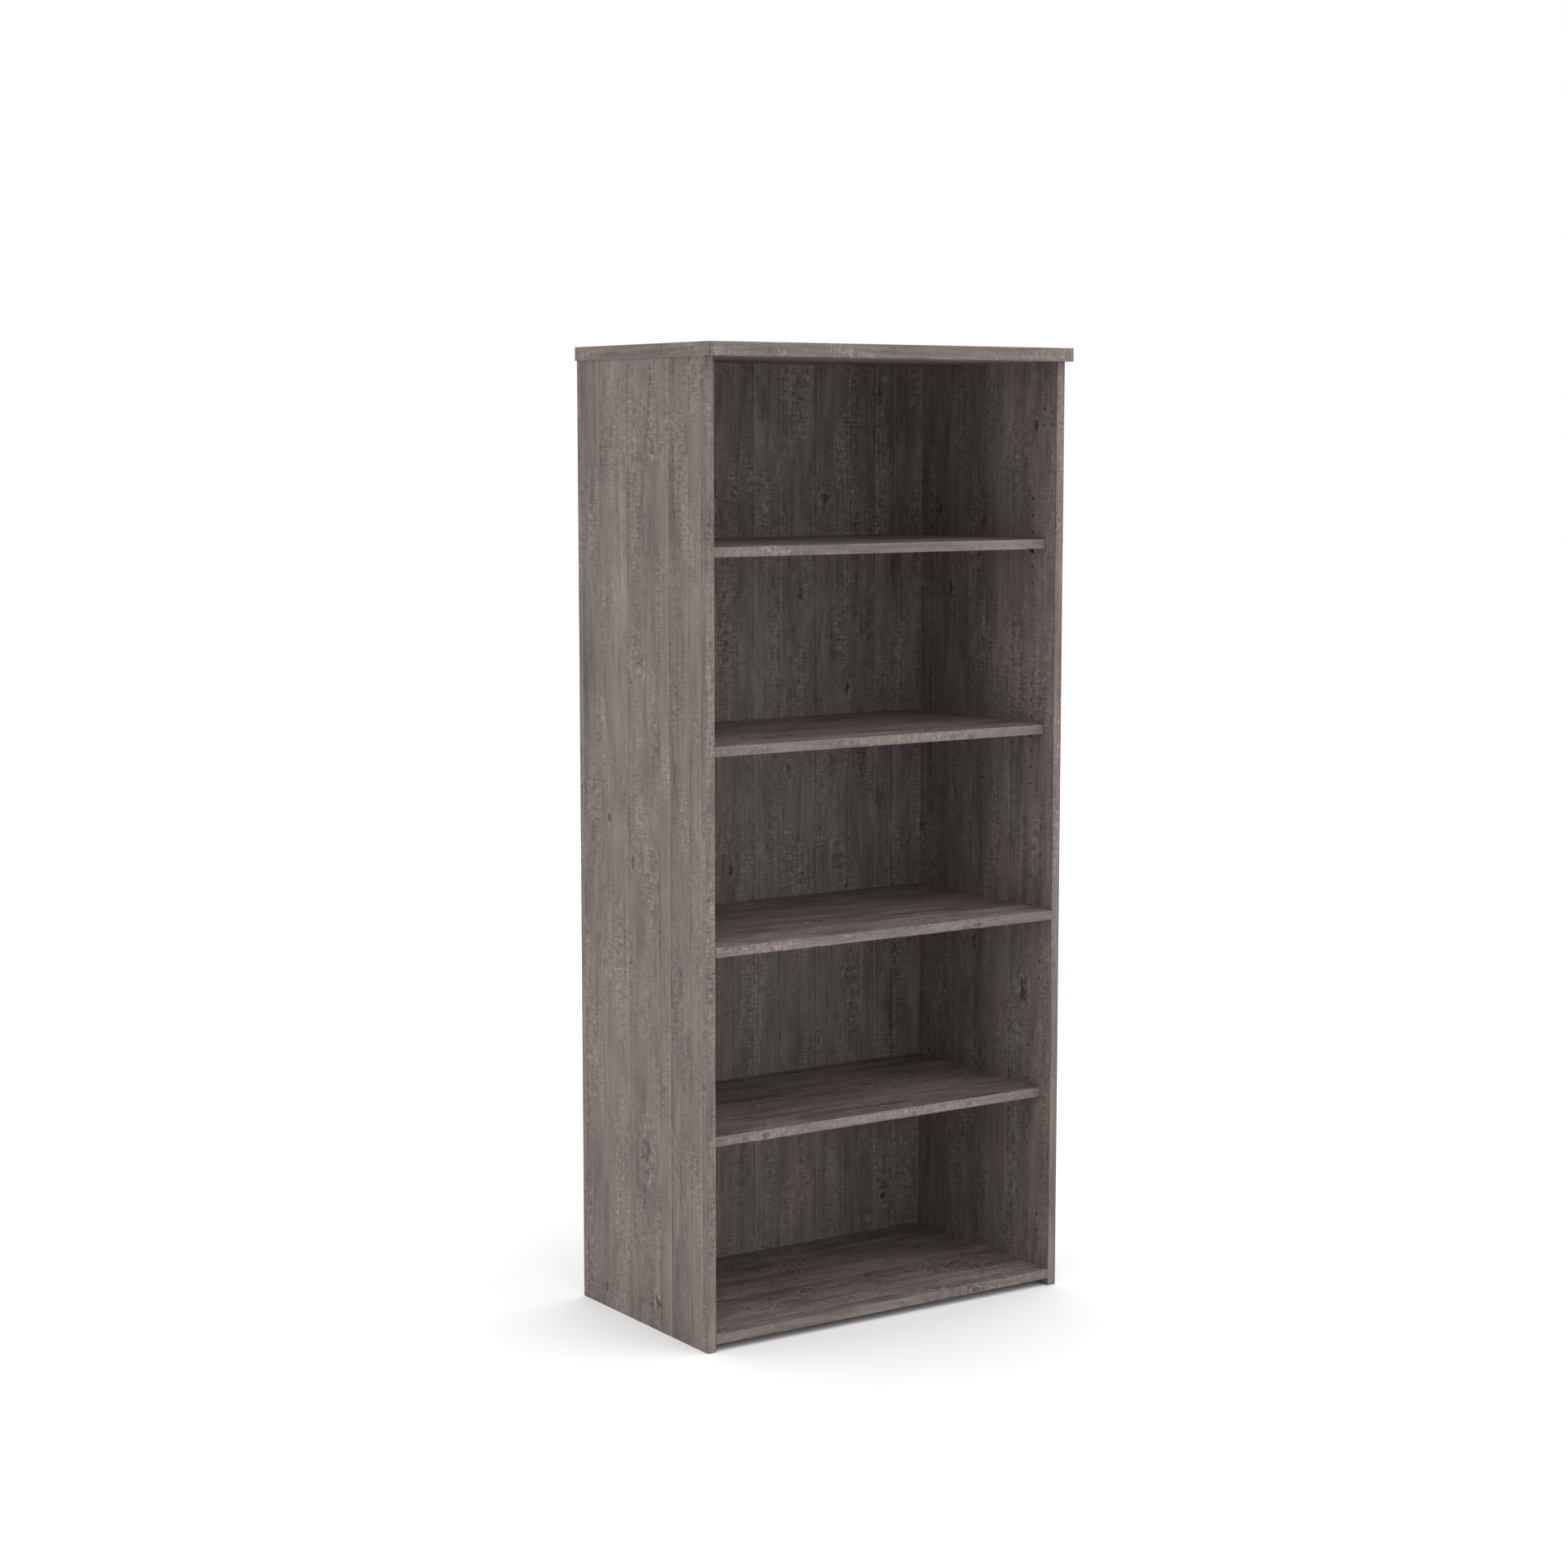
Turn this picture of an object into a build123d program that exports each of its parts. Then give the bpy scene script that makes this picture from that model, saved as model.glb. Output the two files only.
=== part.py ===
"""Bookcase with adjustable shelves: melamine-faced boards held by cam fittings and dowels.

Frame: origin on the floor under the centre of the bookcase, +X to the right seen from the
front, the open front faces -Y, +Z up, millimetres.
"""

import os

from build123d import *

# ---- overall sizes -------------------------------------------------------------------------
HEIGHT = 1790.0
TOP_WIDTH = 800.0
TOP_DEPTH = 465.0
TOP_THICKNESS = 25.0
BOARD = 18.0  # thickness of every board but the top
SIDE_DEPTH = 440.0
SIDE_OVERHANG = 3.0  # top past each side
REAR_OVERHANG = 3.0  # top past the back
FLOOR_GAP = 14.0  # floor to the underside of the bottom board

# ---- edge banding --------------------------------------------------------------------------
BAND = 2.0
BAND_ROUND = 1.0
TOP_BAND_ROUND = 1.5

# ---- adjustable shelves --------------------------------------------------------------------
COMPARTMENTS = 5
SHELF_SETBACK = 28.0  # shelf front behind the front of the sides
SHELF_REAR_GAP = 2.0
SHELF_END_GAP = 1.0

# ---- rows of holes in the sides ------------------------------------------------------------
ROW_PITCH = 32.0
ROWS_EACH_WAY = 3  # rows above and below the row in use
COLUMN_SETBACKS = (69.0, 389.0)  # front and rear column, behind the front of the sides
HINGE_SETBACK = 37.0
HINGE_PAIR_HEIGHTS = (117.0, 613.0, 817.0, 1663.0)
SYSTEM_HOLE_RADIUS = 2.5
SYSTEM_HOLE_DEPTH = 12.0

# ---- shelf support -------------------------------------------------------------------------
SHANK_RADIUS = 2.45
SHANK_LENGTH = 9.0
SUPPORT_WIDTH = 7.0
SUPPORT_REACH = 10.0
TONGUE = 2.0  # thickness of the tongue under the shelf
TONGUE_CORNER = 2.5
FLANGE = 1.2
FLANGE_DROP = 7.5  # hole axis to the foot of the flange
WEB = 1.8

# ---- cam fitting ---------------------------------------------------------------------------
CAM_SETBACK = 25.0  # joint plane to the middle of the cam
CAM_BORE_RADIUS, CAM_BORE_DEPTH = 7.5, 13.5
CAM_RADIUS, CAM_HEIGHT = 7.4, 12.5
CAM_SLOT_RADIUS = 3.8
CAM_SLOT_START, CAM_SLOT_END = 16.0, 28.0  # from the joint plane
RECESS_LENGTH, RECESS_WIDTH, RECESS_DEPTH = 8.0, 1.4, 2.0
BOLT_BORE_RADIUS = 4.0
THREAD_BORE_RADIUS, THREAD_BORE_DEPTH = 3.0, 12.0
THREAD_RADIUS, THREAD_LENGTH = 2.95, 11.0
COLLAR_RADIUS, COLLAR_END = 3.9, 3.0
STEM_RADIUS, STEM_END = 3.3, 19.5
NECK_RADIUS, NECK_END = 2.0, 23.0
HEAD_RADIUS, HEAD_END = 3.3, 26.0
CAP_RADIUS, CAP_THICKNESS = 8.5, 0.8
CAP_BOSS_RADIUS, CAP_BOSS_DEPTH = 7.2, 0.8
CAP_CHAMFER = 0.3

# ---- dowel ---------------------------------------------------------------------------------
DOWEL_BORE_RADIUS, DOWEL_RADIUS = 4.0, 3.95
DOWEL_IN_FACE, DOWEL_IN_EDGE = 12.0, 18.0
DOWEL_BORE_SLACK = 1.0
DOWEL_CHAMFER = 1.0

# ---- where the fittings sit ----------------------------------------------------------------
BACK_TOP_CAM_X = 287.0
BACK_BOTTOM_CAM_X = 253.0
BACK_SIDE_CAM_HEIGHTS = (119.0, 1696.0)
BACK_SIDE_DOWEL_HEIGHTS = (215.0, 908.0, 1600.0)
DOWEL_FROM_CAM = 64.0

# ---- places worked out from the sizes above ------------------------------------------------
SIDE_HEIGHT = HEIGHT - TOP_THICKNESS
TOP_X, TOP_Y = TOP_WIDTH / 2, TOP_DEPTH / 2
CASE_X = TOP_X - SIDE_OVERHANG  # outer face of a side
INNER_X = CASE_X - BOARD  # inner face of a side
CASE_REAR = TOP_Y - REAR_OVERHANG
CASE_FRONT = CASE_REAR - SIDE_DEPTH
BACK_FACE = CASE_REAR - BOARD
BOTTOM_TOP = FLOOR_GAP + BOARD
OPENING = (SIDE_HEIGHT - BOTTOM_TOP - (COMPARTMENTS - 1) * BOARD) / COMPARTMENTS
SHELF_PITCH = OPENING + BOARD
COLUMN_Y = [CASE_FRONT + setback for setback in COLUMN_SETBACKS]
SIDE_DOWEL_Y = [COLUMN_Y[0] + DOWEL_FROM_CAM, COLUMN_Y[1] - DOWEL_FROM_CAM]
BACK_MIDDLE_Y = BACK_FACE + BOARD / 2
BOTTOM_MIDDLE_Z = FLOOR_GAP + BOARD / 2

# height of the middle hole row of each adjustable shelf, and the underside of the fixed one
SUPPORT_ROWS = {
    "lower": BOTTOM_TOP + OPENING,
    "middle": BOTTOM_TOP + OPENING + 2 * SHELF_PITCH,
    "upper": BOTTOM_TOP + OPENING + 3 * SHELF_PITCH,
}
FIXED_UNDERSIDE = BOTTOM_TOP + OPENING + SHELF_PITCH
FIXED_MIDDLE_Z = FIXED_UNDERSIDE + BOARD / 2

UP, DOWN = Vector(0, 0, 1), Vector(0, 0, -1)
FRONT, REAR = Vector(0, -1, 0), Vector(0, 1, 0)
SIDES = {"left": -1, "right": 1}

os.makedirs("parts", exist_ok=True)


def save(piece, name):
    """Labels a finished piece and writes its STEP file."""
    piece.part.label = name
    export_step(piece.part, f"parts/{name}.step")


def outward(sign):
    """Direction from the middle of the bookcase towards the side of that sign."""
    return Vector(sign, 0, 0)


# ---- joints between boards -----------------------------------------------------------------
# A joint is (seam, into, face): the point on the joint plane at mid thickness of the board
# whose edge butts there, the direction into that board, and the face its cam opens on.


def joints_along(points, into, face=None):
    """One joint for each seam point, all in the same direction."""
    return [(Vector(*point), into, face) for point in points]


TOP_TO_SIDE = {
    name: joints_along(
        [(sign * (CASE_X - BOARD / 2), y, SIDE_HEIGHT) for y in COLUMN_Y],
        DOWN,
        outward(-sign),
    )
    for name, sign in SIDES.items()
}
TOP_TO_BACK = joints_along(
    [(sign * BACK_TOP_CAM_X, BACK_MIDDLE_Y, SIDE_HEIGHT) for sign in SIDES.values()],
    DOWN,
    FRONT,
)
BOTTOM_TO_BACK = joints_along(
    [(sign * BACK_BOTTOM_CAM_X, BACK_MIDDLE_Y, BOTTOM_TOP) for sign in SIDES.values()],
    UP,
    FRONT,
)
SIDE_TO_BACK = {
    name: joints_along(
        [(sign * INNER_X, BACK_MIDDLE_Y, z) for z in BACK_SIDE_CAM_HEIGHTS],
        outward(-sign),
        FRONT,
    )
    for name, sign in SIDES.items()
}
SIDE_TO_BOTTOM = {
    name: joints_along(
        [(sign * INNER_X, y, BOTTOM_MIDDLE_Z) for y in COLUMN_Y], outward(-sign), DOWN
    )
    for name, sign in SIDES.items()
}
SIDE_TO_FIXED = {
    name: joints_along(
        [(sign * INNER_X, y, FIXED_MIDDLE_Z) for y in COLUMN_Y], outward(-sign), DOWN
    )
    for name, sign in SIDES.items()
}

TOP_SIDE_DOWELS = {
    name: joints_along(
        [(sign * (CASE_X - BOARD / 2), y, SIDE_HEIGHT) for y in SIDE_DOWEL_Y], DOWN
    )
    for name, sign in SIDES.items()
}
TOP_BACK_DOWELS = joints_along(
    [
        (sign * (BACK_TOP_CAM_X - DOWEL_FROM_CAM), BACK_MIDDLE_Y, SIDE_HEIGHT)
        for sign in SIDES.values()
    ],
    DOWN,
)
BOTTOM_BACK_DOWELS = joints_along(
    [
        (sign * (BACK_BOTTOM_CAM_X - DOWEL_FROM_CAM), BACK_MIDDLE_Y, BOTTOM_TOP)
        for sign in SIDES.values()
    ],
    UP,
)
SIDE_BACK_DOWELS = {
    name: joints_along(
        [(sign * INNER_X, BACK_MIDDLE_Y, z) for z in BACK_SIDE_DOWEL_HEIGHTS],
        outward(-sign),
    )
    for name, sign in SIDES.items()
}
SIDE_BOTTOM_DOWELS = {
    name: joints_along(
        [(sign * INNER_X, y, BOTTOM_MIDDLE_Z) for y in SIDE_DOWEL_Y], outward(-sign)
    )
    for name, sign in SIDES.items()
}
SIDE_FIXED_DOWELS = {
    name: joints_along(
        [(sign * INNER_X, y, FIXED_MIDDLE_Z) for y in SIDE_DOWEL_Y], outward(-sign)
    )
    for name, sign in SIDES.items()
}
BACK_FIXED_DOWELS = joints_along(
    [(sign * BACK_TOP_CAM_X, BACK_FACE, FIXED_MIDDLE_Z) for sign in SIDES.values()],
    FRONT,
)


def both_sides(by_side):
    return by_side["left"] + by_side["right"]


def cam_mouth(joint):
    """Plane of the cam's bore mouth, its normal pointing out of the board's face."""
    seam, into, face = joint
    return Plane(seam + into * CAM_SETBACK + face * (BOARD / 2), z_dir=face)


def edge_mouth(joint):
    """Plane of the joint, its normal pointing out of the butting board's edge."""
    seam, into, _ = joint
    return Plane(seam, z_dir=into * -1)


def face_mouth(joint):
    """Plane of the joint, its normal pointing out of the face that the edge butts on."""
    seam, into, _ = joint
    return Plane(seam, z_dir=into)


def cam_bores(joints):
    """Bores that cam fittings need in the board that holds the cams."""
    return [
        (CAM_BORE_RADIUS, CAM_BORE_DEPTH, [cam_mouth(j) for j in joints]),
        (BOLT_BORE_RADIUS, CAM_SETBACK, [edge_mouth(j) for j in joints]),
    ]


def thread_bores(joints):
    """Bores that the cam bolts' threads need in the board they are screwed into."""
    return [(THREAD_BORE_RADIUS, THREAD_BORE_DEPTH, [face_mouth(j) for j in joints])]


def dowel_bores_in_edge(joints):
    depth = DOWEL_IN_EDGE + DOWEL_BORE_SLACK
    return [(DOWEL_BORE_RADIUS, depth, [edge_mouth(j) for j in joints])]


def dowel_bores_in_face(joints):
    depth = DOWEL_IN_FACE + DOWEL_BORE_SLACK
    return [(DOWEL_BORE_RADIUS, depth, [face_mouth(j) for j in joints])]


# ---- boards and edge bands -----------------------------------------------------------------
def board(low, high, bores=()):
    """A flat board between two corners, with blind bores given as (radius, depth, mouths)."""
    size = [b - a for a, b in zip(low, high)]
    with BuildPart() as made:
        with BuildSketch(Plane.XY.offset(low[2])):
            with Locations((low[0] + size[0] / 2, low[1] + size[1] / 2)):
                Rectangle(size[0], size[1])
        extrude(amount=size[2])
        for radius, depth, mouths in bores:
            with Locations(*mouths):
                Hole(radius, depth)
    return made


def edge_band(low, high, outside, rounding):
    """A strip of edge banding whose outside face, towards `outside`, has rounded edges."""
    size = [b - a for a, b in zip(low, high)]
    with BuildPart() as made:
        with BuildSketch(Plane.XY.offset(low[2])):
            with Locations((low[0] + size[0] / 2, low[1] + size[1] / 2)):
                Rectangle(size[0], size[1])
        extrude(amount=size[2])
        shown = made.faces().sort_by(Axis((0, 0, 0), outside))[-1]
        fillet(shown.edges(), rounding)
    return made


def top_board():
    bores = (
        thread_bores(both_sides(TOP_TO_SIDE) + TOP_TO_BACK)
        + dowel_bores_in_face(both_sides(TOP_SIDE_DOWELS) + TOP_BACK_DOWELS)
    )
    low = (-TOP_X + BAND, -TOP_Y + BAND, SIDE_HEIGHT)
    high = (TOP_X - BAND, TOP_Y - BAND, HEIGHT)
    save(board(low, high, bores), "top_panel")

    for name, outside, y_low, y_high in (
        ("front", FRONT, -TOP_Y, -TOP_Y + BAND),
        ("rear", REAR, TOP_Y - BAND, TOP_Y),
    ):
        low, high = (-TOP_X, y_low, SIDE_HEIGHT), (TOP_X, y_high, HEIGHT)
        save(edge_band(low, high, outside, TOP_BAND_ROUND), f"top_edge_{name}")

    for name, sign in SIDES.items():
        x_low, x_high = sorted((sign * TOP_X, sign * (TOP_X - BAND)))
        low = (x_low, -TOP_Y + BAND, SIDE_HEIGHT)
        high = (x_high, TOP_Y - BAND, HEIGHT)
        save(edge_band(low, high, outward(sign), TOP_BAND_ROUND), f"top_edge_{name}")


def system_hole_mouths(sign):
    """Mouths of the shelf-support holes and the hinge-plate holes in one side."""
    inward = outward(-sign)
    mouths = [
        Plane((sign * INNER_X, y, row + step * ROW_PITCH), z_dir=inward)
        for row in SUPPORT_ROWS.values()
        for step in range(-ROWS_EACH_WAY, ROWS_EACH_WAY + 1)
        for y in COLUMN_Y
    ]
    mouths += [
        Plane((sign * INNER_X, CASE_FRONT + HINGE_SETBACK, z + half), z_dir=inward)
        for z in HINGE_PAIR_HEIGHTS
        for half in (-ROW_PITCH / 2, ROW_PITCH / 2)
    ]
    return mouths


def side_board(name, sign):
    bores = (
        [(SYSTEM_HOLE_RADIUS, SYSTEM_HOLE_DEPTH, system_hole_mouths(sign))]
        + cam_bores(TOP_TO_SIDE[name])
        + thread_bores(SIDE_TO_BACK[name] + SIDE_TO_BOTTOM[name] + SIDE_TO_FIXED[name])
        + dowel_bores_in_edge(TOP_SIDE_DOWELS[name])
        + dowel_bores_in_face(
            SIDE_BACK_DOWELS[name] + SIDE_BOTTOM_DOWELS[name] + SIDE_FIXED_DOWELS[name]
        )
    )
    x_low, x_high = sorted((sign * INNER_X, sign * CASE_X))
    low, high = (x_low, CASE_FRONT + BAND, 0), (x_high, CASE_REAR, SIDE_HEIGHT)
    save(board(low, high, bores), f"{name}_side_panel")

    low, high = (x_low, CASE_FRONT, 0), (x_high, CASE_FRONT + BAND, SIDE_HEIGHT)
    save(edge_band(low, high, FRONT, BAND_ROUND), f"{name}_side_edge")


def back_board():
    bores = (
        cam_bores(TOP_TO_BACK + BOTTOM_TO_BACK + both_sides(SIDE_TO_BACK))
        + dowel_bores_in_edge(
            TOP_BACK_DOWELS + BOTTOM_BACK_DOWELS + both_sides(SIDE_BACK_DOWELS)
        )
        + dowel_bores_in_face(BACK_FIXED_DOWELS)
    )
    low, high = (-INNER_X, BACK_FACE, BOTTOM_TOP), (INNER_X, CASE_REAR, SIDE_HEIGHT)
    save(board(low, high, bores), "back_panel")


def bottom_board():
    bores = (
        cam_bores(both_sides(SIDE_TO_BOTTOM))
        + thread_bores(BOTTOM_TO_BACK)
        + dowel_bores_in_edge(both_sides(SIDE_BOTTOM_DOWELS))
        + dowel_bores_in_face(BOTTOM_BACK_DOWELS)
    )
    low, high = (-INNER_X, CASE_FRONT + BAND, FLOOR_GAP), (INNER_X, CASE_REAR, BOTTOM_TOP)
    save(board(low, high, bores), "bottom_panel")

    low, high = (-INNER_X, CASE_FRONT, FLOOR_GAP), (INNER_X, CASE_FRONT + BAND, BOTTOM_TOP)
    save(edge_band(low, high, FRONT, BAND_ROUND), "bottom_panel_edge")


def fixed_shelf_board():
    top = FIXED_UNDERSIDE + BOARD
    bores = (
        cam_bores(both_sides(SIDE_TO_FIXED))
        + dowel_bores_in_edge(both_sides(SIDE_FIXED_DOWELS) + BACK_FIXED_DOWELS)
    )
    low, high = (-INNER_X, CASE_FRONT + BAND, FIXED_UNDERSIDE), (INNER_X, BACK_FACE, top)
    save(board(low, high, bores), "fixed_shelf")

    low, high = (-INNER_X, CASE_FRONT, FIXED_UNDERSIDE), (INNER_X, CASE_FRONT + BAND, top)
    save(edge_band(low, high, FRONT, BAND_ROUND), "fixed_shelf_edge")


def adjustable_shelf(name, row):
    """A loose shelf that lies on top of four supports plugged in at height `row`."""
    half, front = INNER_X - SHELF_END_GAP, CASE_FRONT + SHELF_SETBACK
    under = row + SYSTEM_HOLE_RADIUS
    low = (-half, front + BAND, under)
    high = (half, BACK_FACE - SHELF_REAR_GAP, under + BOARD)
    save(board(low, high), f"{name}_shelf")

    low, high = (-half, front, under), (half, front + BAND, under + BOARD)
    save(edge_band(low, high, FRONT, BAND_ROUND), f"{name}_shelf_edge")


# ---- shelf supports ------------------------------------------------------------------------
def shelf_support(name, sign, y, row):
    """A plug-in metal support: shank, flange against the side, tongue and web below it."""
    mouth = Vector(sign * INNER_X, y, row)
    inward = outward(-sign)
    tongue_base = mouth + UP * (SYSTEM_HOLE_RADIUS - TONGUE)
    flange_face = Plane(mouth, x_dir=UP.cross(inward), z_dir=inward)
    web_plane = Plane(mouth, x_dir=inward, z_dir=inward.cross(UP))
    straight_drop = FLANGE_DROP - SUPPORT_WIDTH / 2
    flange_height = straight_drop + SYSTEM_HOLE_RADIUS

    with BuildPart() as support:
        with BuildSketch(flange_face):
            Circle(SHANK_RADIUS)
        extrude(amount=-SHANK_LENGTH)
        with BuildSketch(flange_face):
            with Locations((0, SYSTEM_HOLE_RADIUS - flange_height / 2)):
                Rectangle(SUPPORT_WIDTH, flange_height)
            with Locations((0, -straight_drop)):
                Circle(SUPPORT_WIDTH / 2)
        extrude(amount=FLANGE)
        with BuildSketch(Plane(tongue_base, x_dir=inward)) as tongue:
            with Locations((SUPPORT_REACH / 2, 0)):
                Rectangle(SUPPORT_REACH, SUPPORT_WIDTH)
            fillet(tongue.vertices().group_by(Axis.X)[-1], TONGUE_CORNER)
        extrude(amount=TONGUE)
        with BuildSketch(web_plane):
            with BuildLine():
                Polyline(
                    (0, SYSTEM_HOLE_RADIUS - TONGUE),
                    (SUPPORT_REACH - 1, SYSTEM_HOLE_RADIUS - TONGUE),
                    (FLANGE, 1 - FLANGE_DROP),
                    (0, 1 - FLANGE_DROP),
                    close=True,
                )
            make_face()
        extrude(amount=WEB / 2, both=True)
    save(support, name)


# ---- cam fittings and dowels ---------------------------------------------------------------
def cam_fittings(name, joints, capped):
    """Cams and cam bolts of a group of joints, and the cover caps over the cams in view."""
    mouths = [cam_mouth(joint) for joint in joints]
    cam_tops = [mouth.offset(CAM_HEIGHT - CAM_BORE_DEPTH) for mouth in mouths]
    slots = [face_mouth(joint).offset(CAM_SLOT_START) for joint in joints]
    from_top = (Align.CENTER, Align.CENTER, Align.MAX)
    from_base = (Align.CENTER, Align.CENTER, Align.MIN)

    with BuildPart() as cams:
        with Locations(*cam_tops):
            Cylinder(CAM_RADIUS, CAM_HEIGHT, align=from_top)
        with Locations(*cam_tops):
            Box(RECESS_LENGTH, RECESS_WIDTH, RECESS_DEPTH, align=from_top, mode=Mode.SUBTRACT)
            Box(RECESS_WIDTH, RECESS_LENGTH, RECESS_DEPTH, align=from_top, mode=Mode.SUBTRACT)
        with Locations(*slots):
            slot_length = CAM_SLOT_END - CAM_SLOT_START
            Cylinder(CAM_SLOT_RADIUS, slot_length, align=from_base, mode=Mode.SUBTRACT)
    save(cams, f"{name}_cams")

    with BuildPart() as bolts:
        with Locations(*[face_mouth(joint) for joint in joints]):
            Cylinder(THREAD_RADIUS, THREAD_LENGTH, align=from_top)
        for radius, start, end in (
            (COLLAR_RADIUS, 0, COLLAR_END),
            (STEM_RADIUS, COLLAR_END, STEM_END),
            (NECK_RADIUS, STEM_END, NECK_END),
            (HEAD_RADIUS, NECK_END, HEAD_END),
        ):
            with Locations(*[face_mouth(joint).offset(start) for joint in joints]):
                Cylinder(radius, end - start, align=from_base)
    save(bolts, f"{name}_cam_bolts")

    if capped:
        with BuildPart() as caps:
            with Locations(*mouths):
                Cylinder(CAP_RADIUS, CAP_THICKNESS, align=from_base)
                Cylinder(CAP_BOSS_RADIUS, CAP_BOSS_DEPTH, align=from_top)
            rims = caps.edges().filter_by(lambda e: is_cap_rim(e, mouths))
            chamfer(rims, CAP_CHAMFER)
        save(caps, f"{name}_cover_caps")


def is_cap_rim(edge, mouths):
    """True for the outer circle of a cap's shown face."""
    if edge.geom_type != GeomType.CIRCLE or abs(edge.radius - CAP_RADIUS) > 1e-6:
        return False
    heights = [mouth.to_local_coords(edge.arc_center).Z for mouth in mouths]
    return min(abs(height - CAP_THICKNESS) for height in heights) < 1e-6


def dowels(name, joints):
    """Wooden pegs with chamfered ends, half in one board and half in the other."""
    length = DOWEL_IN_FACE + DOWEL_IN_EDGE
    with BuildPart() as pegs:
        with Locations(*[face_mouth(joint).offset(-DOWEL_IN_FACE) for joint in joints]):
            Cylinder(DOWEL_RADIUS, length, align=(Align.CENTER, Align.CENTER, Align.MIN))
        chamfer(pegs.edges().filter_by(GeomType.CIRCLE), DOWEL_CHAMFER)
    save(pegs, f"{name}_dowels")


top_board()
for side_name, side_sign in SIDES.items():
    side_board(side_name, side_sign)
back_board()
bottom_board()
fixed_shelf_board()

for shelf_name, support_row in SUPPORT_ROWS.items():
    adjustable_shelf(shelf_name, support_row)
    for side_name, side_sign in SIDES.items():
        for column_name, column_y in zip(("front", "rear"), COLUMN_Y):
            support_name = f"{shelf_name}_support_{column_name}_{side_name}"
            shelf_support(support_name, side_sign, column_y, support_row)

cam_fittings("top_side", both_sides(TOP_TO_SIDE), capped=True)
cam_fittings("back", TOP_TO_BACK + BOTTOM_TO_BACK + both_sides(SIDE_TO_BACK), capped=True)
cam_fittings("bottom_panel", both_sides(SIDE_TO_BOTTOM), capped=False)
cam_fittings("fixed_shelf", both_sides(SIDE_TO_FIXED), capped=False)

dowels("top_side", both_sides(TOP_SIDE_DOWELS))
dowels("back", TOP_BACK_DOWELS + BOTTOM_BACK_DOWELS + both_sides(SIDE_BACK_DOWELS))
dowels("bottom_panel", both_sides(SIDE_BOTTOM_DOWELS))
dowels("fixed_shelf", both_sides(SIDE_FIXED_DOWELS) + BACK_FIXED_DOWELS)
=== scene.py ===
"""Looks of the bookcase: oak decor, metal fittings, plain studio, camera."""

import math
import random

import bpy
from mathutils import Euler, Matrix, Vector


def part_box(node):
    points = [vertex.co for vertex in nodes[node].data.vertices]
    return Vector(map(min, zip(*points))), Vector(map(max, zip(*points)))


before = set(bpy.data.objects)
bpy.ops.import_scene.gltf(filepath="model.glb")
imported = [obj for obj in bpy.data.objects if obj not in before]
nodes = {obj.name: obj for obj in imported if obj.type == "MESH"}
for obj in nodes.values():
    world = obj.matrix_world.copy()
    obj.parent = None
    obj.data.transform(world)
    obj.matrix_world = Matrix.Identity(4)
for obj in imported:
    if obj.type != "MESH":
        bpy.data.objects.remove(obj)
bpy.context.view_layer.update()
MM = 1000.0


# ---- node helpers ---------------------------------------------------------------------------
class Nodes:
    """Short hands for filling a node tree. Every method returns output sockets."""

    def __init__(self, tree):
        self.tree = tree

    def node(self, kind, **settings):
        made = self.tree.nodes.new(kind)
        for key, value in settings.items():
            setattr(made, key, value)
        return made

    def feed(self, socket, value):
        if isinstance(value, bpy.types.NodeSocket):
            self.tree.links.new(value, socket)
        else:
            socket.default_value = value

    def math(self, operation, *values, clamp=False):
        made = self.node("ShaderNodeMath", operation=operation, use_clamp=clamp)
        for socket, value in zip(made.inputs, values):
            self.feed(socket, value)
        return made.outputs[0]

    def add(self, a, b):
        return self.math("ADD", a, b)

    def sub(self, a, b):
        return self.math("SUBTRACT", a, b)

    def mul(self, a, b):
        return self.math("MULTIPLY", a, b)

    def total(self, *values):
        result = values[0]
        for value in values[1:]:
            result = self.add(result, value)
        return result

    def vector(self, x, y, z=0.0):
        made = self.node("ShaderNodeCombineXYZ")
        for socket, value in zip(made.inputs, (x, y, z)):
            self.feed(socket, value)
        return made.outputs[0]

    def noise(self, x, y, z=0.0, detail=2.0, roughness=0.5):
        """Noise about 0.5, one feature per unit."""
        made = self.node("ShaderNodeTexNoise", noise_dimensions="3D")
        self.feed(made.inputs["Vector"], self.vector(x, y, z))
        made.inputs["Scale"].default_value = 1.0
        made.inputs["Detail"].default_value = detail
        made.inputs["Roughness"].default_value = roughness
        return made.outputs[0]

    def step(self, value, low, high, to_low=0.0, to_high=1.0):
        """Smooth step from to_low at `low` to to_high at `high`."""
        made = self.node("ShaderNodeMapRange", interpolation_type="SMOOTHSTEP")
        for socket, number in zip(made.inputs, (value, low, high, to_low, to_high)):
            self.feed(socket, number)
        return made.outputs[0]

    def ramp(self, value, stops, interpolation="LINEAR"):
        made = self.node("ShaderNodeValToRGB")
        made.color_ramp.interpolation = interpolation
        self.feed(made.inputs[0], value)
        elements = made.color_ramp.elements
        while len(elements) < len(stops):
            elements.new(0.5)
        for element, (at, colour) in zip(elements, stops):
            element.position = at
            element.color = (*colour, 1)
        return made.outputs[0]

    def blend(self, factor, a, b, mode="MIX"):
        made = self.node("ShaderNodeMix", data_type="RGBA", blend_type=mode)
        self.feed(made.inputs[0], factor)
        for socket, value in zip((made.inputs[6], made.inputs[7]), (a, b)):
            value = (*value, 1) if isinstance(value, tuple) else value
            self.feed(socket, value)
        return made.outputs[2]

    def apply(self, group, *values):
        """Puts a group in the tree; its inputs are taken in the order of its interface."""
        made = self.node("ShaderNodeGroup", node_tree=group.tree)
        for socket, value in zip(made.inputs, values):
            self.feed(socket, value)
        return list(made.outputs)


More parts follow.
